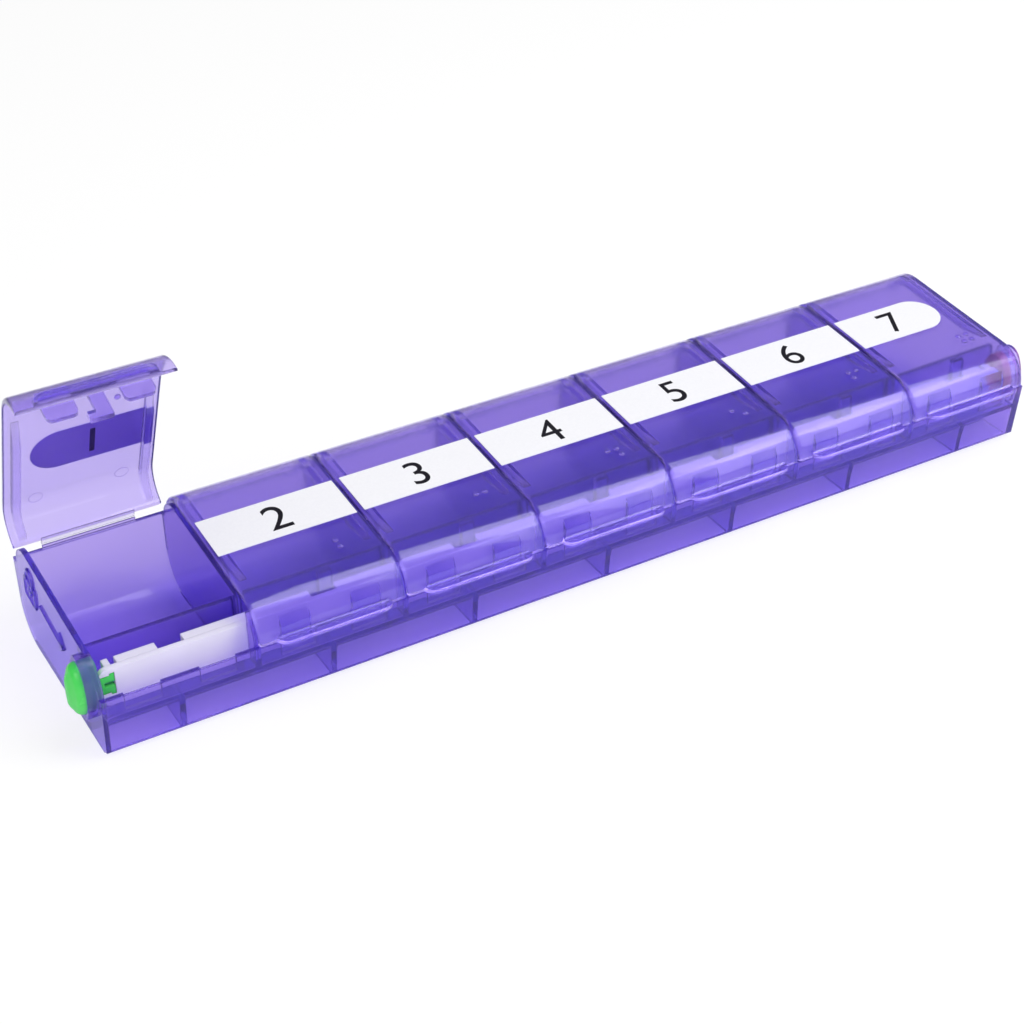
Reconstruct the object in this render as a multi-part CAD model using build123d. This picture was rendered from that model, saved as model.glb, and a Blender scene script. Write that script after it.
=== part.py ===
from build123d import *
import os
from math import cos, radians, tan

# A seven-day pill organizer: one long tray with a lid over each compartment, and a
# bar in a channel behind the front wall that slides sideways under every lid's tongue.
# X runs along the row of days, -Y is the front, +Z is up, and z = 0 is the resting
# plane. Distances in depth are measured from the front face.

# Overall
days = ["sun", "mon", "tue", "wed", "thu", "fri", "sat"]
pitch = 37.0
depth = 56.0
wall = 1.3

# Tray
front_wall_top = 16.2
front_wall_bottom = 1.0
front_wall_lean = 1.6
rear_wall_top = 20.6
heel_radius = 9.0
toe_radius = 3.0
inner_wall_depth = 12.0
inner_wall_top = 22.6
channel_floor = 10.4
foot_setback = 4.0
catch_recess = 0.7
catch_recess_height = 4.2
catch_side_gap = 0.7

# Lids
lid_wall = 1.2
lid_gap = 0.4
seat_gap = 0.15
lid_edge_gap = 0.25
lid_front_height = 25.1
lid_slope = 4.6
lid_front_radius = 9.2
lid_rear_setback = 1.0
lid_rear_radius = 9.0
lid_side_chamfer = 0.8
rib_inset = 1.8
rib_width = 1.8
rib_height = 1.9
open_day = "sun"
open_angle = 70.0

# Lid catches: two hooks that drop into the front wall's recesses
hook_width = 7.2
hook_spacing = 17.6
hook_depth = 1.6
hook_thickness = 1.1
hook_end = 13.0
hook_ridge_depth = 0.25
hook_ridge_spacing = 1.0

# Lid tongue that the bar holds down
tongue_offset = 0.1
tongue_width = 3.4
tongue_depth = 7.8
tongue_thickness = 1.5
tongue_end = 15.3
tongue_foot_length = 2.0
tongue_foot_height = 2.3

# Finger lip along the lid's front edge
lip_width = 28.4
lip_reach = 2.8
lip_nose = 1.2
lip_height = 4.6
lip_hollow_radius = 7.0
lip_end_radius = 2.6

# Tactile dots on the lids: cell spacing and the dots of the numbers 1 to 7
dot_spacing = 2.5
dot_radius = 0.7
dot_sides = 12
dot_height = 0.5
dot_root = 0.1
dot_place = 11.0
dot_depth = 16.0
dot_patterns = {
    "sun": [(0, 0)],
    "mon": [(0, 0), (0, 1)],
    "tue": [(0, 0), (1, 0)],
    "wed": [(0, 0), (1, 0), (1, 1)],
    "thu": [(0, 0), (1, 1)],
    "fri": [(0, 0), (1, 0), (0, 1)],
    "sat": [(0, 0), (1, 0), (0, 1), (1, 1)],
}

# White day bands
band_offset = 2.15
band_width = 13.7
band_round_margin = 6.6
band_thickness = 0.15

# Living hinge
hinge_setback = 0.2
hinge_rise = 1.0
hinge_drop = 0.4
film_width = 23.0
film_thickness = 0.35
film_gap = 0.05

# Locking bar
bar_depth = 5.6
bar_thickness = 1.4
bar_floor_gap = 0.2
bar_top = 20.0
bar_end_gap = 0.5
bar_travel = 2.0
bar_corner_radius = 2.0
flange_width = 2.5
flange_thickness = 2.0
flange_clearance = 0.4
bar_slot_clearance = 0.4
snap_notch_width = 1.5

# Buttons and their collars
button_depth = 7.9
button_rise = 0.6
button_half_width = 4.2
button_half_height = 6.7
button_end_radius = 3.0
button_projection = 5.0
button_crown_radius = 11.0
button_cross_radius = 6.0
button_clearance = 0.15
collar_wall_width = 0.65
collar_wall_height = 1.35
collar_projection = 2.0
stem_half_height = 2.4
stem_length = 3.6
stem_barb = 0.5
stem_barb_length = 1.2
stem_slit = 1.0
stem_thickness = 1.2
stem_clearance = 0.08

# Places worked out from the driving dimensions
count = len(days)
length = pitch * count
lid_edge = front_wall_top + lid_edge_gap
lid_width = pitch - lid_gap
lid_rear_depth = depth - lid_rear_setback
hinge_depth = depth - hinge_setback
hinge_height = rear_wall_top + hinge_rise
lid_rear_edge = hinge_height + hinge_drop
band_front_depth = lid_rear_depth / 2 + band_offset - band_width / 2
high = 2 * lid_front_height
hinge_y = hinge_depth - depth / 2
bar_left = -length / 2 + wall + bar_end_gap
bar_right = length / 2 - wall - bar_end_gap - bar_travel
bar_bottom = channel_floor + bar_floor_gap
button_height = (bar_bottom + bar_top) / 2 + button_rise
button_length = button_projection + wall + bar_end_gap - stem_clearance


def from_front(distance):
    return distance - depth / 2


def cell_left(index):
    return -length / 2 + pitch * index


def cell_middle(index):
    return cell_left(index) + pitch / 2


# Sections are drawn as (y, z) and swept along X
def panel(near, far, low, top):
    middle = (from_front(near) + from_front(far)) / 2
    return Pos(middle, (low + top) / 2) * Rectangle(far - near, top - low)


def prism(section, start, size):
    return Pos(start, 0, 0) * extrude(Plane.YZ * section, size)


def top_line(y, inset):
    rise = (y - from_front(0)) * tan(radians(lid_slope))
    return lid_front_height + rise - inset / cos(radians(lid_slope))


# The lid's arched outline, inset by a distance, closed along the resting plane
def cover_region(inset):
    front = from_front(inset)
    rear = from_front(lid_rear_depth - inset)
    arch = FilletPolyline(
        (front, 0),
        (front, top_line(front, inset)),
        (rear, top_line(rear, inset)),
        (rear, 0),
        radius=[lid_front_radius - inset, lid_rear_radius - inset],
    )
    return make_face([arch, Line(arch @ 1, arch @ 0)])


# The tray's side outline below the lids, inset by a distance on its walls and floor
def body_region(inset, rim):
    slope = front_wall_lean / front_wall_top
    front_top = (from_front(inset) - (rim - front_wall_top) * slope, rim)
    front_low = (from_front(inset + front_wall_lean - inset * slope), inset)
    rear = from_front(depth - inset)
    rear_rim = max(rim, rear_wall_top)
    outline = FilletPolyline(
        front_top,
        front_low,
        (rear, inset),
        (rear, rear_rim),
        (from_front(lid_rear_depth - lid_wall - seat_gap), rear_rim),
        (from_front(lid_wall + seat_gap), rim),
        radius=[0, toe_radius, heel_radius - inset, 0, 0, 0],
        close=True,
    )
    return make_face(outline)


def front_wall_face(z):
    return front_wall_lean * (front_wall_top - z) / front_wall_top


# Tray
def long_walls():
    pocket = body_region(0, front_wall_top) - body_region(wall, high)
    pocket &= panel(inner_wall_depth, depth, 0, rear_wall_top)
    inner_wall = panel(inner_wall_depth, inner_wall_depth + wall, 0, inner_wall_top)
    front_low = from_front(front_wall_face(front_wall_bottom))
    front_wall = make_face(
        Polyline(
            (from_front(0), front_wall_top),
            (from_front(wall), front_wall_top),
            (front_low + wall, front_wall_bottom),
            (front_low, front_wall_bottom),
            close=True,
        )
    )
    shelf = panel(
        front_wall_face(channel_floor) + wall / 2,
        inner_wall_depth + wall / 2,
        channel_floor - wall,
        channel_floor,
    )
    stub = panel(
        hinge_depth - film_thickness - film_gap,
        hinge_depth - film_gap,
        rear_wall_top - wall / 2,
        hinge_height - film_gap,
    )
    walls = prism(pocket + inner_wall + front_wall + shelf, -length / 2, length)
    for index in range(count):
        walls += prism(stub, cell_middle(index) - film_width / 2, film_width)
    return walls


def end_outline():
    lid_seat = cover_region(lid_wall + seat_gap) & panel(0, lid_rear_depth, channel_floor, high)
    return body_region(0, front_wall_top) + lid_seat


def partition_outline():
    bar_slot = panel(
        bar_depth - bar_slot_clearance,
        bar_depth + bar_thickness + flange_width + bar_slot_clearance,
        channel_floor,
        high,
    )
    under_channel = panel(-wall, inner_wall_depth, -wall, channel_floor - wall / 2)
    return end_outline() - bar_slot - under_channel


def rib_outline():
    low_front = front_wall_face(front_wall_bottom) + wall / 2
    high_front = front_wall_face(channel_floor) + wall / 2
    return make_face(
        Polyline(
            (from_front(foot_setback), 0),
            (from_front(inner_wall_depth + wall / 2), 0),
            (from_front(inner_wall_depth + wall / 2), channel_floor - wall / 2),
            (from_front(high_front), channel_floor - wall / 2),
            (from_front(low_front), front_wall_bottom),
            close=True,
        )
    )


# The button's oval of two wide and two narrow arcs, grown on each side
def button_oval(growth_width, growth_height):
    half_width = button_half_width + growth_width
    half_height = button_half_height + growth_height
    end_radius = button_end_radius + growth_width
    rise = half_height - end_radius
    side_radius = (half_width**2 - end_radius**2 + rise**2) / (2 * (half_width - end_radius))
    shift = side_radius - half_width
    lens = Pos(shift, 0) * Circle(side_radius) & Pos(-shift, 0) * Circle(side_radius)
    return Pos(from_front(button_depth), button_height) * fillet(lens.vertices(), end_radius)


def make_tray():
    tray = long_walls()
    for start in (-length / 2, length / 2 - wall):
        tray += prism(end_outline(), start, wall)
    for index in range(1, count):
        tray += prism(partition_outline(), cell_left(index) - wall / 2, wall)
    for index in range(count):
        tray += prism(rib_outline(), cell_middle(index) - wall / 2, wall)
    bore = button_oval(button_clearance, button_clearance)
    collar = button_oval(collar_wall_width + button_clearance, collar_wall_height + button_clearance)
    bore_reach = collar_projection + 2 * wall + bar_end_gap + bar_travel
    tray += prism(collar, -length / 2 - collar_projection, collar_projection)
    tray += prism(collar, length / 2, collar_projection)
    tray -= prism(bore, -length / 2 - collar_projection, bore_reach)
    tray -= prism(bore, length / 2 + collar_projection - bore_reach, bore_reach)
    recess = panel(
        wall - catch_recess,
        wall + catch_recess,
        front_wall_top - catch_recess_height,
        front_wall_top,
    )
    for index in range(count):
        for side in (-1, 1):
            middle = cell_middle(index) + side * hook_spacing / 2
            width = hook_width + 2 * catch_side_gap
            tray -= prism(recess, middle - width / 2, width)
    return tray


# Lids, built closed over the first cell's middle at x = 0
def lid_shell():
    front_cut = panel(-depth, depth / 2, 0, lid_edge)
    rear_cut = panel(depth / 2, 2 * depth, 0, lid_rear_edge)
    cover = prism(cover_region(0), -lid_width / 2, lid_width)
    ends = cover.faces().filter_by(Plane.YZ)
    cover = chamfer(ends.edges(), lid_side_chamfer)
    hollow = cover_region(lid_wall) + front_cut + rear_cut
    return cover - prism(hollow, -lid_width / 2, lid_width)


def lid_ribs():
    band = cover_region(lid_wall / 2) - cover_region(lid_wall + rib_height)
    band &= panel(inner_wall_depth + wall + lid_gap, lid_rear_depth, lid_rear_edge, high)
    start = lid_width / 2 - rib_inset - rib_width
    return prism(band, start, rib_width) + prism(band, -start - rib_width, rib_width)


def lid_hooks():
    inside = cover_region(lid_wall / 2)
    hook = panel(hook_depth, hook_depth + hook_thickness, hook_end, high) & inside
    ridge_side = 2 * hook_ridge_depth * cos(radians(45))
    hooks = Part()
    for side in (-1, 1):
        start = side * hook_spacing / 2 - hook_width / 2
        hooks += prism(hook, start, hook_width)
        for step in (1, 2):
            ridge_z = hook_end + step * hook_ridge_spacing
            ridge = Pos(from_front(hook_depth), ridge_z) * Rectangle(ridge_side, ridge_side, 45)
            hooks += prism(ridge, start, hook_width)
    return hooks


# The tongue stands against the inside of the lid's front curve
def make_tongue():
    inside = cover_region(lid_wall)
    far = tongue_depth + tongue_thickness
    stem = panel(tongue_depth, far, tongue_end, high) & inside
    foot = panel(tongue_depth, far, tongue_end, tongue_end + tongue_foot_height)
    return prism(stem, tongue_offset, tongue_width) + prism(
        foot, tongue_offset - tongue_foot_length, tongue_foot_length + tongue_width
    )


def lid_lip():
    root = from_front(lid_wall / 2)
    tip = from_front(-lip_reach)
    nose = lip_nose / 2
    low = Line((root, lid_edge), (tip + nose, lid_edge))
    round_nose = ThreePointArc(low @ 1, (tip, lid_edge + nose), (tip + nose, lid_edge + lip_nose))
    hollow = RadiusArc(round_nose @ 1, (root, lid_edge + lip_height), lip_hollow_radius)
    section = make_face([low, round_nose, hollow, Line(hollow @ 1, low @ 0)])
    plan = Pos(0, from_front(0)) * RectangleRounded(lip_width, 2 * lip_reach, lip_end_radius)
    return prism(section, -lip_width / 2, lip_width) & extrude(plan, high)


def lid_dots(day):
    post = extrude(RegularPolygon(dot_radius, dot_sides), dot_height + dot_root)
    dot = Rot(lid_slope, 0, 0) * Pos(0, 0, -dot_root) * post
    dots = Part()
    for column, row in dot_patterns[day]:
        x = dot_place + (column - 1) * dot_spacing
        y = from_front(dot_depth - row * dot_spacing)
        dots += Pos(x, y, top_line(y, 0)) * dot
    return dots


def make_lid(day):
    return lid_shell() + lid_ribs() + lid_hooks() + lid_lip() + lid_dots(day)


# Day bands, with a round outer end on the first and the last lid
def make_band(day):
    strip = cover_region(-band_thickness) - cover_region(0)
    strip &= panel(band_front_depth, band_front_depth + band_width, 0, high)
    left = -lid_width / 2 + (band_round_margin if day == days[0] else lid_side_chamfer)
    right = lid_width / 2 - (band_round_margin if day == days[-1] else lid_side_chamfer)
    band = prism(strip, left, right - left)
    radius = band_width / 2
    middle = from_front(band_front_depth + radius)
    square = Pos((left + right) / 2, middle) * Rectangle(right - left, band_width)
    if day == days[0]:
        square = square - Pos(left, middle) * Rectangle(2 * radius, band_width)
        square = square + Pos(left + radius, middle) * Circle(radius)
    if day == days[-1]:
        square = square - Pos(right, middle) * Rectangle(2 * radius, band_width)
        square = square + Pos(right - radius, middle) * Circle(radius)
    return band & extrude(square, high)


def make_film():
    strip = panel(
        lid_rear_depth - lid_wall - seat_gap,
        hinge_depth - film_gap,
        lid_rear_edge - film_thickness,
        lid_rear_edge,
    )
    return prism(strip, -film_width / 2, film_width)


# Locking bar
def make_bar():
    size = bar_right - bar_left
    middle = (bar_left + bar_right) / 2
    height = bar_top - bar_bottom
    plate = Pos(middle, (bar_top + bar_bottom) / 2) * RectangleRounded(size, height, bar_corner_radius)
    slot_length = stem_length + stem_clearance
    for end, inward in ((bar_left, 1), (bar_right, -1)):
        slot_middle = end + inward * slot_length / 2
        barb_middle = end + inward * (slot_length - stem_barb_length / 2)
        plate -= Pos(slot_middle, button_height) * Rectangle(slot_length, 2 * stem_half_height)
        barb_height = 2 * (stem_half_height + stem_barb)
        plate -= Pos(barb_middle, button_height) * Rectangle(stem_barb_length, barb_height)
    return Pos(0, from_front(bar_depth + bar_thickness), 0) * extrude(Plane.XZ * plate, bar_thickness)


# Keepers: the bar's rear flange, parted by a gate for each lid's foot and a notch near each end
def make_keepers():
    near = bar_depth + bar_thickness
    flange = panel(near, near + flange_width, bar_top - flange_thickness, bar_top)
    left = bar_left + bar_corner_radius
    right = bar_right - bar_corner_radius
    starts = [left, left + 2 * snap_notch_width]
    ends = [left + snap_notch_width]
    for index in range(count):
        foot = cell_middle(index) + tongue_offset - tongue_foot_length
        ends.append(foot - flange_clearance)
        starts.append(foot + tongue_foot_length + tongue_width + flange_clearance)
    starts.append(right - snap_notch_width)
    ends += [right - 2 * snap_notch_width, right]
    return [prism(flange, start, end - start) for start, end in zip(starts, ends)]


# Buttons: an oval cap, crowned both ways, with a split stem that snaps into the bar's end
def make_button(end, inward):
    cap_inner = end - inward * stem_clearance
    cap = prism(button_oval(0, 0), 0, button_length)
    middle = Pos(0, from_front(button_depth), button_height)
    cap &= middle * Pos(button_crown_radius, 0, 0) * Rot(90, 0, 0) * Cylinder(button_crown_radius, depth)
    cap &= middle * Pos(button_cross_radius, 0, 0) * Cylinder(button_cross_radius, depth)
    stem_reach = stem_length + stem_clearance
    half = stem_half_height - stem_clearance
    barb_half = half + stem_barb
    barb_length = stem_barb_length - 2 * stem_clearance
    stem = Pos(stem_reach / 2, 0) * Rectangle(stem_reach, 2 * half)
    stem += Pos(stem_reach - barb_length / 2, 0) * Rectangle(barb_length, 2 * barb_half)
    stem -= Pos(stem_reach, 0) * Rectangle(2 * (stem_reach - wall), stem_slit)
    stem_y = from_front(bar_depth + bar_thickness / 2) + stem_thickness / 2
    stem_solid = Pos(button_length, stem_y, button_height) * extrude(Plane.XZ * stem, stem_thickness)
    button = Pos(-button_length, 0, 0) * (cap + stem_solid)
    if inward < 0:
        button = mirror(button, Plane.YZ)
    return Pos(cap_inner, 0, 0) * button


def hinged(solid, index, angle):
    turned = Pos(0, hinge_y, hinge_height) * Rot(-angle, 0, 0) * Pos(0, -hinge_y, -hinge_height) * solid
    return Pos(cell_middle(index), 0, 0) * turned


nodes = {"tray": make_tray(), "lock_bar": make_bar()}
nodes["lock_button"] = make_button(bar_left, 1)
nodes["unlock_button"] = make_button(bar_right, -1)
for index, keeper in enumerate(make_keepers()):
    nodes["keeper_" + str(index)] = keeper
for index, day in enumerate(days):
    angle = open_angle if day == open_day else 0
    nodes["lid_" + day] = hinged(make_lid(day), index, angle)
    nodes["tongue_" + day] = hinged(make_tongue(), index, angle)
    nodes["day_band_" + day] = hinged(make_band(day), index, angle)
    nodes["hinge_film_" + day] = hinged(make_film(), index, angle)

os.makedirs("parts", exist_ok=True)
for name, solid in nodes.items():
    export_step(solid, "parts/" + name + ".step")
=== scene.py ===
import math

import bmesh
import bpy
from mathutils import Matrix, Vector


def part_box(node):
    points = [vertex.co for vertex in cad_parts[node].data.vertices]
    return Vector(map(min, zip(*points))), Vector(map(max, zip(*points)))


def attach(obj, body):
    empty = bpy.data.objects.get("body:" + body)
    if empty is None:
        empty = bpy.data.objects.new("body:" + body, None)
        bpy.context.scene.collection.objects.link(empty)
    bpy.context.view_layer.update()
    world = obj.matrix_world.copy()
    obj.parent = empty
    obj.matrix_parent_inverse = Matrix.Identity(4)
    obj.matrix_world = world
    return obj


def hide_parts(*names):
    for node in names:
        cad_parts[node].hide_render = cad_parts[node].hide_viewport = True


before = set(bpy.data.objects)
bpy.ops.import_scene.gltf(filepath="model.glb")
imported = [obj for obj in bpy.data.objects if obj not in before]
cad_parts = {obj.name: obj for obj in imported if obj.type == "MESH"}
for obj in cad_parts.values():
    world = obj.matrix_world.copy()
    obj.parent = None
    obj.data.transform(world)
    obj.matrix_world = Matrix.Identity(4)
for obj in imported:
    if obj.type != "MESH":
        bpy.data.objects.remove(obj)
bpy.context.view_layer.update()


# Tray
# One long polypropylene moulding, tinted violet all through, so a wall seen edge-on is far
# darker than the same wall seen flat. The mould leaves a gloss with a slow ripple in it.
class Signal:
    """A socket in a material's tree. Sums and products of signals add Math nodes."""

    def __init__(self, tree, socket):
        self.tree = tree
        self.socket = socket

    @classmethod
    def node(cls, tree, kind, settings=None, sockets=None, output=0):
        made = tree.nodes.new(kind)
        for name, value in (settings or {}).items():
            setattr(made, name, value)
        for name, value in (sockets or {}).items():
            if isinstance(value, Signal):
                tree.links.new(value.socket, made.inputs[name])
            else:
                made.inputs[name].default_value = value
        return cls(tree, made.outputs[output])

    def math(self, operation, first, second):
        settings = {"operation": operation}
        return Signal.node(self.tree, "ShaderNodeMath", settings, {0: first, 1: second})

    def __add__(self, other):
        return self.math("ADD", self, other)

    def __sub__(self, other):
        return self.math("SUBTRACT", self, other)

    def __rsub__(self, other):
        return self.math("SUBTRACT", other, self)

    def __mul__(self, other):
        return self.math("MULTIPLY", self, other)

    __radd__ = __add__
    __rmul__ = __mul__


def new_finish(name):
    finish = bpy.data.materials.new(name)
    finish.use_nodes = True
    finish.node_tree.nodes.clear()
    return finish, finish.node_tree


def show(tree, surface, volume=None):
    output = tree.nodes.new("ShaderNodeOutputMaterial")
    tree.links.new(surface.socket, output.inputs["Surface"])
    if volume is not None:
        tree.links.new(volume.socket, output.inputs["Volume"])


def noise(tree, scale, detail, stretch=(1, 1, 1)):
    place = Signal.node(tree, "ShaderNodeTexCoord", output="Object")
    place = Signal.node(tree, "ShaderNodeMapping", None, {"Vector": place, "Scale": stretch})
    sockets = {"Vector": place, "Scale": scale, "Detail": detail}
    return Signal.node(tree, "ShaderNodeTexNoise", None, sockets)


def blend(tree, factor, first, second):
    sockets = {"Factor": factor, "A": first, "B": second}
    return Signal.node(tree, "ShaderNodeMix", {"data_type": "RGBA"}, sockets, output=2)


def rounded_edges(tree, radius):
    return Signal.node(tree, "ShaderNodeBevel", {"samples": 4}, {"Radius": radius})


violet_skin = ((0.645, 0.535, 0.92, 1), (0.695, 0.58, 0.94, 1))
violet_haze = (0.22, 0.14, 0.66, 1)
violet_depth = (0.22, 0.03, 0.9, 1)
violet_shade = (0.64, 0.54, 0.92, 1)
violet_density = 105.0
violet_ior = 1.28
flow_scale, flow_stretch = 55.0, (0.35, 1, 1)
grain_scale, grain_height, grain_gloss = 900.0, 0.04, 0.05
relief_depth = 0.0006
coat_gloss = 0.06
clear_haze, tray_haze = 0.04, 0.13
wall_rounding = 0.0006


def violet_plastic(
    name,
    skin,
    gloss,
    ripple,
    density=violet_density,
    rounding=wall_rounding,
    coat=0.2,
    shade=violet_shade,
    haze=clear_haze,
):
    finish, tree = new_finish(name)
    flow = noise(tree, flow_scale, 2.0, flow_stretch)
    grain = noise(tree, grain_scale, 1.0)
    colour = blend(tree, flow, *skin)
    relief = {"Strength": ripple, "Distance": relief_depth, "Height": flow + grain * grain_height}
    if rounding:
        relief["Normal"] = rounded_edges(tree, rounding)
    normal = Signal.node(tree, "ShaderNodeBump", None, relief)
    clear = Signal.node(
        tree,
        "ShaderNodeBsdfPrincipled",
        None,
        {
            "Base Color": colour,
            "Roughness": gloss + grain * grain_gloss,
            "IOR": violet_ior,
            "Transmission Weight": 1.0,
            "Coat Weight": coat,
            "Coat Roughness": coat_gloss,
            "Normal": normal,
        },
    )
    milky = {"Color": violet_haze, "Normal": normal}
    cloudy = Signal.node(tree, "ShaderNodeBsdfDiffuse", None, milky)
    plastic = Signal.node(tree, "ShaderNodeMixShader", None, {0: haze, 1: clear, 2: cloudy})
    lamp_ray = Signal.node(tree, "ShaderNodeLightPath", output="Is Shadow Ray")
    through = Signal.node(tree, "ShaderNodeBsdfTransparent", None, {"Color": shade})
    layers = {0: lamp_ray, 1: plastic, 2: through}
    surface = Signal.node(tree, "ShaderNodeMixShader", None, layers)
    tint = {"Color": violet_depth, "Density": density}
    inside = Signal.node(tree, "ShaderNodeVolumeAbsorption", None, tint)
    show(tree, surface, inside)
    return finish


def dress(node, finish):
    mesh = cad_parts[node].data
    mesh.materials.clear()
    mesh.materials.append(finish)


tray_finish = violet_plastic("tray_violet", violet_skin, gloss=0.06, ripple=0.12, haze=tray_haze)
dress("tray", tray_finish)


# Lock sign
# A raised line drawing on the left end wall, moulded with the tray: a shut padlock, and an
# arrow that points along the wall to the button.
def linked(name, data):
    made = bpy.data.objects.new(name, data)
    bpy.context.scene.collection.objects.link(made)
    return made


def baked_mesh(maker):
    bpy.context.view_layer.update()
    graph = bpy.context.evaluated_depsgraph_get()
    return bpy.data.meshes.new_from_object(maker.evaluated_get(graph))


def new_piece(name, mesh, finish, body):
    mesh.materials.clear()
    mesh.materials.append(finish)
    piece = linked(name, mesh)
    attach(piece, body)
    return piece


def stroke(curve, points, closed=False):
    line = curve.splines.new("POLY")
    line.points.add(len(points) - 1)
    for point, (across, rise) in zip(line.points, points):
        point.co = (across, rise, 0, 1)
    line.use_cyclic_u = closed


def arc(middle, radius, start, end, steps):
    turns = [math.radians(start + (end - start) * step / steps) for step in range(steps + 1)]
    return [(middle[0] + radius * math.cos(a), middle[1] + radius * math.sin(a)) for a in turns]


def rounded_box(middle, half_width, half_height, radius):
    corners = []
    for quarter, (side, level) in enumerate(((1, 1), (-1, 1), (-1, -1), (1, -1))):
        across = middle[0] + side * (half_width - radius)
        rise = middle[1] + level * (half_height - radius)
        corners += arc((across, rise), radius, 90 * quarter, 90 * quarter + 90, 6)
    return corners


sign_wall, sign_middle, sign_height = -0.1295, 0.004, 0.0168
sign_tilt = math.radians(-9)
sign_line = 0.0005
padlock = -0.0125
case_height, case_half, case_corner = -0.0012, (0.0034, 0.0027), 0.0007
shackle_foot, shackle_bend, shackle_radius = 0.0015, 0.0032, 0.0021
keyhole_height, keyhole_radius, keyhole_slot = -0.0006, 0.0007, (-0.0013, -0.0025)
arrow_start, arrow_tip, arrow_head, arrow_spread = -0.006, 0.009, 0.003, 0.0026
sign_density = 700.0
sign_curve = bpy.data.curves.new("lock_sign", "CURVE")
sign_curve.dimensions = "3D"
sign_curve.bevel_depth = sign_line
sign_curve.bevel_resolution = 3
sign_curve.use_fill_caps = True
stroke(sign_curve, rounded_box((padlock, case_height), *case_half, case_corner), True)
shackle = arc((padlock, shackle_bend), shackle_radius, 0, 180, 16)
feet = [(padlock + side * shackle_radius, shackle_foot) for side in (1, -1)]
stroke(sign_curve, feet[:1] + shackle + feet[1:])
stroke(sign_curve, arc((padlock, keyhole_height), keyhole_radius, 0, 330, 11), True)
stroke(sign_curve, [(padlock, rise) for rise in keyhole_slot])
stroke(sign_curve, [(arrow_start, 0.0), (arrow_tip, 0.0)])
barbs = [(arrow_tip - arrow_head, side * arrow_spread) for side in (1, -1)]
stroke(sign_curve, [barbs[0], (arrow_tip, 0.0), barbs[1]])
sign_maker = linked("lock_sign_maker", sign_curve)
sign_mesh = baked_mesh(sign_maker)
bpy.data.objects.remove(sign_maker)
on_wall = Matrix(
    ((0, 0, -1, sign_wall), (-1, 0, 0, sign_middle), (0, 1, 0, sign_height), (0, 0, 0, 1))
)
sign_mesh.transform(on_wall @ Matrix.Rotation(sign_tilt, 4, "Z"))
sign_finish = violet_plastic(
    "sign_violet", violet_skin, gloss=0.05, ripple=0.02, density=sign_density, rounding=0.00005
)
new_piece("lock_sign", sign_mesh, sign_finish, "tray_body")


# Lids
# Seven arched covers of the same violet plastic, each one moulding with side ribs, two catch hooks
# and a finger lip, made here with rounded edges. Each lid's locking tongue stands behind its front
# curve, and a thin strip of the same plastic joins the lid to the tray and bends as the hinge.
days = ["sun", "mon", "tue", "wed", "thu", "fri", "sat"]
pitch = 0.037
open_turn = math.radians(70)
hinge_line = Vector((0, 0.0278, 0.0216))
front_face = -0.028
lid_half = 0.0183
lid_wall = 0.0012
lid_edge, lid_rear_edge = 0.01645, 0.022
lid_rear_depth = 0.055
lid_front_height = 0.0251
lid_slope = math.radians(4.6)
lid_front_radius, lid_rear_radius = 0.0092, 0.009
lid_round = 0.0008
bend_steps, round_steps = 18, 6


def lid_place(day):
    turn = -open_turn if day == "sun" else 0
    along = (days.index(day) - len(days) // 2) * pitch
    to_hinge = Matrix.Translation(hinge_line)
    swing = to_hinge @ Matrix.Rotation(turn, 4, "X") @ Matrix.Translation(-hinge_line)
    return Matrix.Translation((along, 0, 0)) @ swing


def lid_top(y):
    return lid_front_height + (y - front_face) * math.tan(lid_slope)


def arch(inset):
    # Stations from the lid's front edge over its top to its rear edge: y, z and the way out
    upright = math.pi / 2 + lid_slope
    rear_bend = lid_rear_depth - lid_rear_radius
    bends = []
    for depth, radius in ((lid_front_radius, lid_front_radius), (rear_bend, lid_rear_radius)):
        y = front_face + depth
        bends.append((y, lid_top(y) - radius / math.cos(lid_slope), radius - inset))
    last = math.asin((lid_rear_edge - bends[1][1]) / bends[1][2])
    stations = [(front_face + inset, lid_edge, math.pi)]
    for (y, z, radius), first, final in zip(bends, (math.pi, upright), (upright, last)):
        for step in range(bend_steps + 1):
            turn = first + (final - first) * step / bend_steps
            stations.append((y + radius * math.cos(turn), z + radius * math.sin(turn), turn))
    return stations


def bridge(shape, rings):
    for near, far in zip(rings, rings[1:]):
        for k in range(len(near)):
            other = (k + 1) % len(near)
            shape.faces.new((near[k], near[other], far[other], far[k]))


def loft(shape, loops):
    rings = [[shape.verts.new(spot) for spot in loop] for loop in loops]
    bridge(shape, rings)
    shape.faces.new(rings[0])
    shape.faces.new(rings[-1])


def lid_shell(shape):
    side = []
    for step in range(round_steps + 1):
        turn = math.pi / 2 * step / round_steps
        inward = lid_round * (1 - math.sin(turn))
        side.append((lid_half - inward, lid_round * (1 - math.cos(turn))))
    across = [(-x, drop) for x, drop in reversed(side)] + side
    loops = []
    for (y, z, turn), (inner_y, inner_z, _) in zip(arch(0), arch(lid_wall)):
        over = [(x, y - drop * math.cos(turn), z - drop * math.sin(turn)) for x, drop in across]
        under = [(x, inner_y, inner_z) for x in (lid_half, -lid_half)]
        loops.append(over + under)
    loft(shape, loops)


rib_inset, rib_width, rib_height = 0.0018, 0.0018, 0.0019
rib_start, rib_ramp, rib_first_share = 0.0137, 0.008, 0.05


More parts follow.
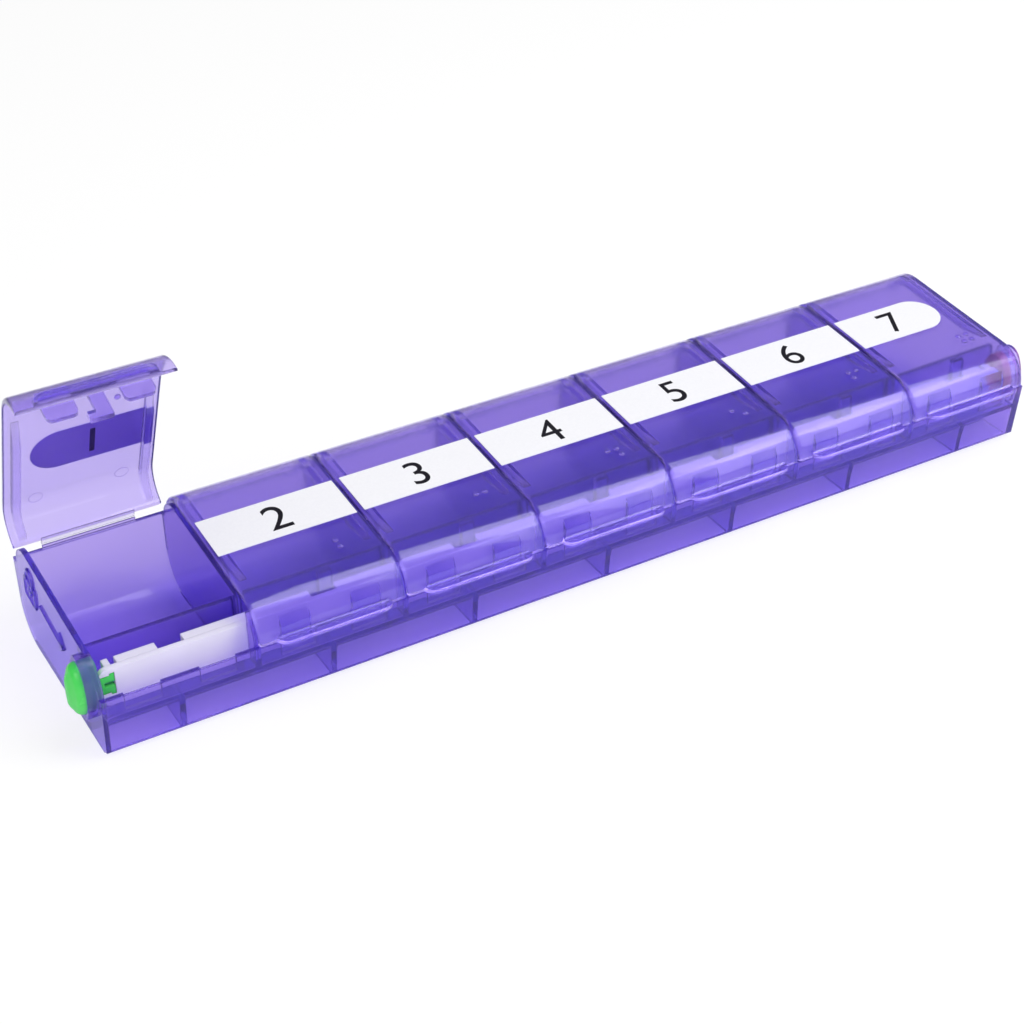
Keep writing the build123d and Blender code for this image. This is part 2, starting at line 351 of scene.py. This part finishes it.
def lid_ribs(shape):
    # Each rib rises along its ramp, then follows the rear bend almost to the lid's edge
    ramp = ((rib_start, rib_height * rib_first_share), (rib_start + rib_ramp, rib_height))
    pairs = []
    for depth, height in ramp:
        y = front_face + depth
        insets = (lid_wall / 2, lid_wall + height)
        pairs.append([(y, lid_top(y) - inset / math.cos(lid_slope)) for inset in insets])
    for upper, lower in zip(arch(lid_wall / 2), arch(lid_wall + rib_height)):
        if upper[0] > 0:
            pairs.append((upper[:2], lower[:2]))
    for side in (-1, 1):
        far = side * (lid_half - rib_inset)
        near = side * (lid_half - rib_inset - rib_width)
        loops = []
        for upper, lower in pairs[:-1]:
            loops.append([(far, *upper), (near, *upper), (near, *lower), (far, *lower)])
        loft(shape, loops)


hook_width, hook_spacing, hook_depth, hook_thickness = 0.0072, 0.0176, 0.0016, 0.0011
hook_end, hook_corner = 0.013, 0.0014
hook_tops = (0.0197, 0.0214)
ridge_half, ridge_half_width = 0.00025, hook_width * 0.45
ridge_spacing, ridge_steps = 0.001, (2, 3)


def lid_hooks(shape):
    faces = (front_face + hook_depth, front_face + hook_depth + hook_thickness)
    round_z = hook_end + hook_corner
    for side in (-1, 1):
        left = side * hook_spacing / 2 - hook_width / 2
        right = left + hook_width
        loops = []
        for y, top in zip(faces, hook_tops):
            outline = [(right, top)]
            outline += arc((right - hook_corner, round_z), hook_corner, 0, -90, 6)
            outline += arc((left + hook_corner, round_z), hook_corner, -90, -180, 6)
            outline.append((left, top))
            loops.append([(x, y, z) for x, z in outline])
        loft(shape, loops)


def hook_ridges(shape):
    y = front_face + hook_depth
    for side in (-1, 1):
        for step in ridge_steps:
            z = hook_end + step * ridge_spacing
            loops = []
            for end in (-1, 1):
                x = side * hook_spacing / 2 + end * ridge_half_width
                corners = ((-1, 0), (0, 1), (1, 0), (0, -1))
                loops.append([(x, y + a * ridge_half, z + b * ridge_half) for a, b in corners])
            loft(shape, loops)


lip_half, lip_reach, lip_nose, lip_cove = 0.0142, 0.0028, 0.0012, 0.0012
lip_corner, lip_end_turn, lip_end_steps = 0.0026, math.radians(80), 7
lip_sink, lip_least_cove = 0.00035, 0.0001


def finger_lip(shape):
    nose = lip_nose / 2
    loops = []
    for step in range(-lip_end_steps - 1, lip_end_steps + 2):
        turn = lip_end_turn * max(abs(step) - 1, 0) / lip_end_steps
        end = lip_half - lip_corner + lip_corner * math.sin(turn)
        x = math.copysign(end, step) if step else 0.0
        reach = lip_reach - lip_corner + lip_corner * math.cos(turn)
        cove = max(min(lip_cove, reach - nose), lip_least_cove)
        cove_top = lid_edge + lip_nose + cove
        section = [(lid_wall / 2, lid_edge)]
        section += arc((nose - reach, lid_edge + nose), nose, -90, -270, 10)
        section += arc((lip_sink - cove, cove_top), cove, -90, 0, 8)
        section.append((lid_wall / 2, cove_top))
        loops.append([(x, front_face + y, z) for y, z in section])
    loft(shape, loops)


def solid(name, makers):
    shape = bmesh.new()
    for maker in makers:
        maker(shape)
    bmesh.ops.recalc_face_normals(shape, faces=shape.faces)
    mesh = bpy.data.meshes.new(name)
    shape.to_mesh(mesh)
    shape.free()
    return linked(name, mesh)


lid_sharp_angle = math.radians(35)


def joined_lid():
    base = solid("lid_shell_maker", [lid_shell])
    extra = solid("lid_extra_maker", [lid_ribs, lid_hooks, finger_lip])
    ridges = solid("lid_ridge_maker", [hook_ridges])
    for other in (extra, ridges):
        join = base.modifiers.new("join", "BOOLEAN")
        join.operation = "UNION"
        join.solver = "EXACT"
        join.object = other
    mesh = baked_mesh(base)
    base.modifiers.clear()
    for made in (base, extra, ridges):
        bpy.data.objects.remove(made)
    for face in mesh.polygons:
        face.use_smooth = True
    mesh.set_sharp_from_angle(angle=lid_sharp_angle)
    return mesh


lid_skin = ((0.72, 0.635, 0.975, 1), (0.76, 0.67, 0.985, 1))
lid_shade = (0.38, 0.27, 0.84, 1)
film_skin = ((0.9, 0.88, 0.97, 1), (0.93, 0.91, 0.98, 1))
lid_finish = violet_plastic(
    "lid_violet", lid_skin, gloss=0.2, ripple=0.06, rounding=0, coat=0.8, shade=lid_shade
)
film_finish = violet_plastic("hinge_film_pale", film_skin, gloss=0.12, ripple=0.1)
lid_mesh = joined_lid()
for day in days:
    mesh = lid_mesh.copy()
    mesh.transform(lid_place(day))
    cover = new_piece("lid_cover_" + day, mesh, lid_finish, "lid_" + day + "_body")
    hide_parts("lid_" + day)
    dress("tongue_" + day, lid_finish)
    dress("hinge_film_" + day, film_finish)


# Tactile dots
# Round-topped dots on each lid, moulded with it, that spell the day's number for the fingertip.
# Each one is a smooth dome, half sunk in the lid's top.
def new_tree(name, numbers):
    tree = bpy.data.node_groups.new(name, "GeometryNodeTree")
    for way in ("INPUT", "OUTPUT"):
        tree.interface.new_socket("Geometry", in_out=way, socket_type="NodeSocketGeometry")
    for number in numbers:
        tree.interface.new_socket(number, in_out="INPUT", socket_type="NodeSocketFloat")
    tree.interface.new_socket("Finish", in_out="INPUT", socket_type="NodeSocketMaterial")
    return tree, tree.nodes.new("NodeGroupInput")


def place_on_points(tree, start, shape, scale=None):
    # Set the shape on every point at the lid's slope, as real faces with the finish
    tilt = tree.nodes.new("ShaderNodeCombineXYZ")
    place = tree.nodes.new("GeometryNodeInstanceOnPoints")
    real = tree.nodes.new("GeometryNodeRealizeInstances")
    dressed = tree.nodes.new("GeometryNodeSetMaterial")
    end = tree.nodes.new("NodeGroupOutput")
    if scale is not None:
        tree.links.new(scale, place.inputs["Scale"])
    for source, target in (
        (start.outputs["Slope"], tilt.inputs["X"]),
        (start.outputs["Geometry"], place.inputs["Points"]),
        (shape, place.inputs["Instance"]),
        (tilt.outputs["Vector"], place.inputs["Rotation"]),
        (place.outputs["Instances"], real.inputs["Geometry"]),
        (real.outputs["Geometry"], dressed.inputs["Geometry"]),
        (start.outputs["Finish"], dressed.inputs["Material"]),
        (dressed.outputs["Geometry"], end.inputs["Geometry"]),
    ):
        tree.links.new(source, target)
    return tree


def grown_mesh(name, points, tree, values):
    seeds = bpy.data.meshes.new(name)
    seeds.from_pydata(points, [], [])
    maker = linked(name + "_maker", seeds)
    nodes = maker.modifiers.new("grow", "NODES")
    nodes.node_group = tree
    for item in tree.interface.items_tree:
        if item.in_out == "INPUT" and item.name in values:
            nodes[item.identifier] = values[item.name]
    mesh = baked_mesh(maker)
    maker.modifiers.remove(nodes)
    bpy.data.objects.remove(maker)
    for face in mesh.polygons:
        face.use_smooth = True
    return mesh


def dome_tree():
    tree, start = new_tree("tactile_domes", ("Radius", "Height", "Slope"))
    ball = tree.nodes.new("GeometryNodeMeshUVSphere")
    ball.inputs["Segments"].default_value = 24
    ball.inputs["Rings"].default_value = 12
    ball.inputs["Radius"].default_value = 1.0
    size = tree.nodes.new("ShaderNodeCombineXYZ")
    for axis, source in (("X", "Radius"), ("Y", "Radius"), ("Z", "Height")):
        tree.links.new(start.outputs[source], size.inputs[axis])
    return place_on_points(tree, start, ball.outputs["Mesh"], size.outputs["Vector"])


dot_spacing = 0.0025
dot_place = 0.011
dot_depth = 0.016
dot_radius = 0.0008
dot_height = 0.0006
dot_cells = {
    "sun": ((0, 0),),
    "mon": ((0, 0), (0, 1)),
    "tue": ((0, 0), (1, 0)),
    "wed": ((0, 0), (1, 0), (1, 1)),
    "thu": ((0, 0), (1, 1)),
    "fri": ((0, 0), (1, 0), (0, 1)),
    "sat": ((0, 0), (1, 0), (0, 1), (1, 1)),
}
dot_finish = violet_plastic(
    "dot_violet", violet_skin, gloss=0.04, ripple=0.02, rounding=0.00002, coat=1.0
)
dot_sizes = {"Radius": dot_radius, "Height": dot_height, "Slope": lid_slope, "Finish": dot_finish}
domes = dome_tree()
for day in days:
    spots = []
    for column, row in dot_cells[day]:
        y = front_face + dot_depth - row * dot_spacing
        spots.append((dot_place + (column - 1) * dot_spacing, y, lid_top(y)))
    mesh = grown_mesh("tactile_dots_" + day, spots, domes, dot_sizes)
    mesh.transform(lid_place(day))
    new_piece("tactile_dots_" + day, mesh, dot_finish, "lid_" + day + "_body")


# Pin marks
# Faint rings under each lid, two near the hinge, where the mould's ejector pins pushed the part
# out. Each ring is a hair-thin ridge on the lid's inside.
def ring_tree():
    tree, start = new_tree("pin_rings", ("Radius", "Ridge", "Slope"))
    circle = tree.nodes.new("GeometryNodeCurvePrimitiveCircle")
    circle.inputs["Resolution"].default_value = 40
    section = tree.nodes.new("GeometryNodeCurvePrimitiveCircle")
    section.inputs["Resolution"].default_value = 8
    ring = tree.nodes.new("GeometryNodeCurveToMesh")
    tree.links.new(start.outputs["Radius"], circle.inputs["Radius"])
    tree.links.new(start.outputs["Ridge"], section.inputs["Radius"])
    tree.links.new(circle.outputs["Curve"], ring.inputs["Curve"])
    tree.links.new(section.outputs["Curve"], ring.inputs["Profile Curve"])
    return place_on_points(tree, start, ring.outputs["Mesh"])


pin_radius = 0.0017
pin_ridge = 0.00007
pin_spots = ((-0.0105, 0.0175), (0.0105, 0.0175))
pin_sizes = {"Radius": pin_radius, "Ridge": pin_ridge, "Slope": lid_slope, "Finish": lid_finish}
pin_rings = ring_tree()
for day in days:
    spots = [(x, y, lid_top(y) - lid_wall / math.cos(lid_slope)) for x, y in pin_spots]
    mesh = grown_mesh("pin_rings_" + day, spots, pin_rings, pin_sizes)
    mesh.transform(lid_place(day))
    new_piece("pin_rings_" + day, mesh, lid_finish, "lid_" + day + "_body")


# Day bands
# A band of white ink across each lid, thin enough that some light comes through it. It is
# printed flat on the plastic, with a faint screen grain. Its underside is painted a darker violet,
# painted shade for the side that faces away from the light.
screen_scale, screen_gloss = 1600.0, 0.1
band_gloss = 0.35
band_white = ((0.84, 0.84, 0.88, 1), (0.91, 0.91, 0.94, 1))
# Painted shade: the darker violet given to the band's underside, the side away from the light.
band_underside_painted_shade = (0.56, 0.46, 0.82, 1)
band_glow, band_glow_share = (0.8, 0.8, 0.85, 1), 0.12
finish, tree = new_finish("band_white_ink")
screen = noise(tree, screen_scale, 1.0)
outward = Signal.node(tree, "ShaderNodeTexCoord", output="Normal")
facing = Signal.node(tree, "ShaderNodeSeparateXYZ", None, {0: outward}, output="Z")
# Faces that point down get the painted shade colour instead of the white ink.
under = facing.math("LESS_THAN", facing, 0.0)
band_colour = blend(tree, under, blend(tree, screen, *band_white), band_underside_painted_shade)
matt = {"Base Color": band_colour, "Roughness": band_gloss + screen * screen_gloss}
ink = Signal.node(tree, "ShaderNodeBsdfPrincipled", None, matt)
glow = Signal.node(tree, "ShaderNodeBsdfTranslucent", None, {"Color": band_glow})
show(tree, Signal.node(tree, "ShaderNodeMixShader", None, {0: band_glow_share, 1: ink, 2: glow}))
for day in days:
    dress("day_band_" + day, finish)


# Numerals
# Each band carries a plain number for its day, screen-printed in dark ink. The number is left
# open in the white, so it also shows from under the lid.
numeral_height = 0.0088
ink_proud = 0.00002
band_middle = 0.00165
band_film = 0.00015
band_shift = {"sun": 0.003, "sat": -0.003}
numeral_gloss, numeral_shine = 0.4, 0.2
ink_black = ((0.006, 0.005, 0.01, 1), (0.012, 0.01, 0.018, 1))
finish, tree = new_finish("numeral_ink")
screen = noise(tree, screen_scale, 1.0)
ink = Signal.node(
    tree,
    "ShaderNodeBsdfPrincipled",
    None,
    {
        "Base Color": blend(tree, screen, *ink_black),
        "Roughness": numeral_gloss + screen * screen_gloss,
        "Specular IOR Level": numeral_shine,
    },
)
show(tree, ink)
for number, day in enumerate(days, 1):
    letter = bpy.data.curves.new("numeral_" + day, "FONT")
    letter.body = str(number)
    letter.extrude = 0.5
    letter.resolution_u = 8
    maker = linked("numeral_maker_" + day, letter)
    mesh = baked_mesh(maker)
    bpy.data.objects.remove(maker)
    low = [min(v.co[axis] for v in mesh.vertices) for axis in (0, 1)]
    high = [max(v.co[axis] for v in mesh.vertices) for axis in (0, 1)]
    scale = numeral_height / (high[1] - low[1])
    centre = Matrix.Translation((-(low[0] + high[0]) / 2, -(low[1] + high[1]) / 2, 0))
    mesh.transform(Matrix.Diagonal((scale, scale, band_film + 2 * ink_proud, 1)) @ centre)
    lift = lid_top(band_middle) + band_film / 2 / math.cos(lid_slope)
    spot = Matrix.Translation((band_shift.get(day, 0), band_middle, lift))
    mesh.transform(lid_place(day) @ spot @ Matrix.Rotation(lid_slope, 4, "X"))
    new_piece("numeral_" + day, mesh, finish, "lid_" + day + "_body")


# Locking bar
# A milky white moulding that slides in the channel behind the front wall. Its rear flange
# is cut into keepers that pass over the lids' feet.
keeper_count = 10
bar_milk = ((0.81, 0.785, 0.95, 1), (0.86, 0.835, 0.96, 1))
bar_glow, bar_glow_share = (0.85, 0.84, 0.93, 1), 0.2
bar_rounding = 0.0004
bar_cloud_scale, bar_gloss, bar_cloud_gloss = 120.0, 0.3, 0.1
finish, tree = new_finish("bar_milky_white")
cloud = noise(tree, bar_cloud_scale, 3.0)
bar_body = Signal.node(
    tree,
    "ShaderNodeBsdfPrincipled",
    None,
    {
        "Base Color": blend(tree, cloud, *bar_milk),
        "Roughness": bar_gloss + cloud * bar_cloud_gloss,
        "Normal": rounded_edges(tree, bar_rounding),
    },
)
glow = Signal.node(tree, "ShaderNodeBsdfTranslucent", None, {"Color": bar_glow})
layers = {0: bar_glow_share, 1: bar_body, 2: glow}
show(tree, Signal.node(tree, "ShaderNodeMixShader", None, layers))
dress("lock_bar", finish)
for number in range(keeper_count):
    dress("keeper_" + str(number), finish)


# Buttons
# Two caps, one at each end of the bar, moulded with a split stem that snaps into it. The left
# one is green and locks, the right one is red and unlocks. The plastic is glossy and a bit cloudy.
button_rounding = 0.0008
button_cloud_scale, button_gloss, button_cloud_gloss = 300.0, 0.22, 0.08


def button_plastic(name, dark, bright):
    finish, tree = new_finish(name)
    cloud = noise(tree, button_cloud_scale, 2.0)
    cap = Signal.node(
        tree,
        "ShaderNodeBsdfPrincipled",
        None,
        {
            "Base Color": blend(tree, cloud, dark, bright),
            "Roughness": button_gloss + cloud * button_cloud_gloss,
            "Normal": rounded_edges(tree, button_rounding),
        },
    )
    show(tree, cap)
    return finish


cap_edge, cap_crown = 0.0021, 0.0009
cap_edge_turn, cap_edge_steps, cap_crown_steps = math.radians(90) * 0.86, 9, 7
cap_end_radius, cap_outline_steps = 0.003, 10
stem_half, stem_barb, stem_slit = 0.00232, 0.0005, 0.0005
stem_reach, stem_barb_length, stem_root = 0.00368, 0.00104, 0.0013
stem_half_depth, stem_setback = 0.0006, 0.0016


def cap_outline(half_width, half_height):
    # Round the cap's oval: two wide arcs for the sides and two narrow ones for the ends
    rise = half_height - cap_end_radius
    side = (half_width**2 - cap_end_radius**2 + rise**2) / (2 * (half_width - cap_end_radius))
    shift = side - half_width
    meet = math.atan2(rise, shift)
    quarter = []
    for k in range(cap_outline_steps):
        turn = meet * k / cap_outline_steps
        quarter.append((side * math.cos(turn) - shift, side * math.sin(turn)))
    for k in range(cap_outline_steps + 1):
        turn = meet + (math.pi / 2 - meet) * k / cap_outline_steps
        across, up = cap_end_radius * math.cos(turn), cap_end_radius * math.sin(turn)
        quarter.append((across, rise + up))
    upper = quarter + [(-y, z) for y, z in reversed(quarter[:-1])]
    lower = [(-y, -z) for y, z in upper[1:-1]]
    return upper + lower


def make_cap(node, side):
    low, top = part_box(node)
    middle_y, middle_z = (low[1] + top[1]) / 2, (low[2] + top[2]) / 2
    half_width, half_height = (top[1] - low[1]) / 2, (top[2] - low[2]) / 2
    reach = top[0] - low[0] - stem_reach
    outer = low[0] if side < 0 else top[0]
    profile = [(reach, 0.0), (cap_edge + cap_crown, 0.0)]
    for step in range(1, cap_edge_steps + 1):
        turn = cap_edge_turn * step / cap_edge_steps
        inset = cap_edge * (1 - math.cos(turn))
        profile.append((cap_crown + cap_edge * (1 - math.sin(turn)), inset))
    last_depth, last_inset = profile[-1]
    for step in range(1, cap_crown_steps):
        share = step / cap_crown_steps
        inset = last_inset + (half_width - last_inset) * share
        profile.append((last_depth * (1 - share) ** 2, inset))
    shell = bmesh.new()
    oval = cap_outline(half_width, half_height)
    rings = []
    for depth, inset in profile:
        x = outer - side * depth
        across, along = (half_width - inset) / half_width, (half_height - inset) / half_height
        spots = [(x, middle_y + y * across, middle_z + z * along) for y, z in oval]
        rings.append([shell.verts.new(spot) for spot in spots])
    crown = shell.verts.new((outer, middle_y, middle_z))
    bridge(shell, rings)
    for k in range(len(oval)):
        shell.faces.new((rings[-1][k], rings[-1][(k + 1) % len(oval)], crown))
    shell.faces.new(rings[0])
    barb, barb_half = stem_reach - stem_barb_length, stem_half + stem_barb
    prong = [(0, stem_half), (barb, stem_half), (barb, barb_half), (stem_reach, barb_half)]
    prong += [(stem_reach, stem_slit), (stem_root, stem_slit)]
    section = prong + [(x, -z) for x, z in reversed(prong)]
    loops = []
    for face_y in (-1, 1):
        stem_y = middle_y - stem_setback + face_y * stem_half_depth
        loops.append([(outer - side * (reach + x), stem_y, middle_z + z) for x, z in section])
    loft(shell, loops)
    bmesh.ops.recalc_face_normals(shell, faces=shell.faces)
    mesh = bpy.data.meshes.new(node + "_cap")
    shell.to_mesh(mesh)
    shell.free()
    for face in mesh.polygons:
        face.use_smooth = face.index < len(oval) * len(profile)
    return mesh


green_finish = button_plastic("button_green", (0.04, 0.55, 0.07, 1), (0.06, 0.65, 0.1, 1))
red_finish = button_plastic("button_red", (0.74, 0.28, 0.3, 1), (0.81, 0.35, 0.37, 1))
for node, side, finish in (("lock_button", -1, green_finish), ("unlock_button", 1, red_finish)):
    cap = new_piece(node + "_cap", make_cap(node, side), finish, "lock_body")
    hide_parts(node)


# Studio
# A white table that keeps the object's soft shadow, white all round, three soft boxes, and
# the camera at the photograph's place.
def seen_directly(tree):
    # Through clear walls the white counts only for what is seen, not as light on the object
    seen = Signal.node(tree, "ShaderNodeLightPath", output="Is Camera Ray")
    through = Signal.node(tree, "ShaderNodeLightPath", output="Is Transmission Ray")
    depth = Signal.node(tree, "ShaderNodeLightPath", output="Diffuse Depth")
    return seen, through * seen.math("LESS_THAN", depth, 0.5)


table_size, table_drop = 6.0, 0.0004
table_white = (0.95, 0.95, 0.95, 1)
pure_white = (1, 1, 1, 1)
table_seen_white, table_through_white = 0.75, 0.08
table_mesh = bpy.data.meshes.new("table")
sheet = bmesh.new()
bmesh.ops.create_grid(sheet, x_segments=1, y_segments=1, size=table_size / 2)
bmesh.ops.translate(sheet, verts=sheet.verts, vec=(0, 0, -table_drop))
sheet.to_mesh(table_mesh)
sheet.free()
table = linked("table", table_mesh)
finish, tree = new_finish("table_white")
matt = Signal.node(tree, "ShaderNodeBsdfDiffuse", None, {"Color": table_white})
lit = Signal.node(tree, "ShaderNodeEmission", None, {"Color": pure_white, "Strength": 1.0})
seen, through = seen_directly(tree)
whiteness = seen.math("MAXIMUM", seen * table_seen_white, through * table_through_white)
show(tree, Signal.node(tree, "ShaderNodeMixShader", None, {0: whiteness, 1: matt, 2: lit}))
table_mesh.materials.append(finish)

ambient_strength, ambient_gloss_loss = 0.6, 0.4
world = bpy.data.worlds.new("studio")
bpy.context.scene.world = world
world.use_nodes = True
tree = world.node_tree
tree.nodes.clear()
glossy = Signal.node(tree, "ShaderNodeLightPath", output="Is Glossy Ray")
level = {"Color": pure_white, "Strength": ambient_strength - glossy * ambient_gloss_loss}
ambient = Signal.node(tree, "ShaderNodeBackground", None, level)
white = Signal.node(tree, "ShaderNodeBackground", None, {"Color": pure_white, "Strength": 1.0})
output = tree.nodes.new("ShaderNodeOutputWorld")
seen, through = seen_directly(tree)
layers = {0: seen.math("MAXIMUM", seen, through), 1: ambient, 2: white}
backdrop = Signal.node(tree, "ShaderNodeMixShader", None, layers)
tree.links.new(backdrop.socket, output.inputs["Surface"])

lamp_aim = Vector((0, 0, 0.02))


def soft_box(name, place, size, power):
    data = bpy.data.lights.new(name, "AREA")
    data.shape = "RECTANGLE"
    data.size, data.size_y = size
    data.energy = power
    lamp = linked(name, data)
    lamp.location = place
    lamp.rotation_euler = (lamp_aim - Vector(place)).to_track_quat("-Z", "Y").to_euler()


soft_box("front_box", (-0.7, -0.7, 0.6), (0.8, 0.6), 3.8)
soft_box("right_box", (0.37, -0.27, 0.77), (0.45, 0.9), 4.5)
soft_box("low_box", (0.546, -0.606, 0.38), (0.45, 0.65), 2.0)

camera_place = (-0.2174, -0.3584, 0.2885)
camera_data = bpy.data.cameras.new("camera")
camera_data.lens = 70.23
camera_data.sensor_width = 36.0
camera_data.clip_start = 0.01
azimuth, elevation, roll = math.radians(-29.84), math.radians(34.13), math.radians(-0.59)
right = Vector((math.cos(azimuth), math.sin(azimuth), 0))
away = Vector((math.sin(azimuth), -math.cos(azimuth), 0))
back = away * math.cos(elevation) + Vector((0, 0, math.sin(elevation)))
upright = Matrix((right, back.cross(right), back)).transposed()
camera = linked("camera", camera_data)
aim = upright @ Matrix.Rotation(roll, 3, "Z")
camera.matrix_world = Matrix.Translation(camera_place) @ aim.to_4x4()
bpy.context.scene.camera = camera

light_bounces = 40
bpy.context.scene.view_settings.view_transform = "Standard"
cycles = bpy.context.scene.cycles
cycles.max_bounces = light_bounces
cycles.transmission_bounces = light_bounces
cycles.transparent_max_bounces = light_bounces
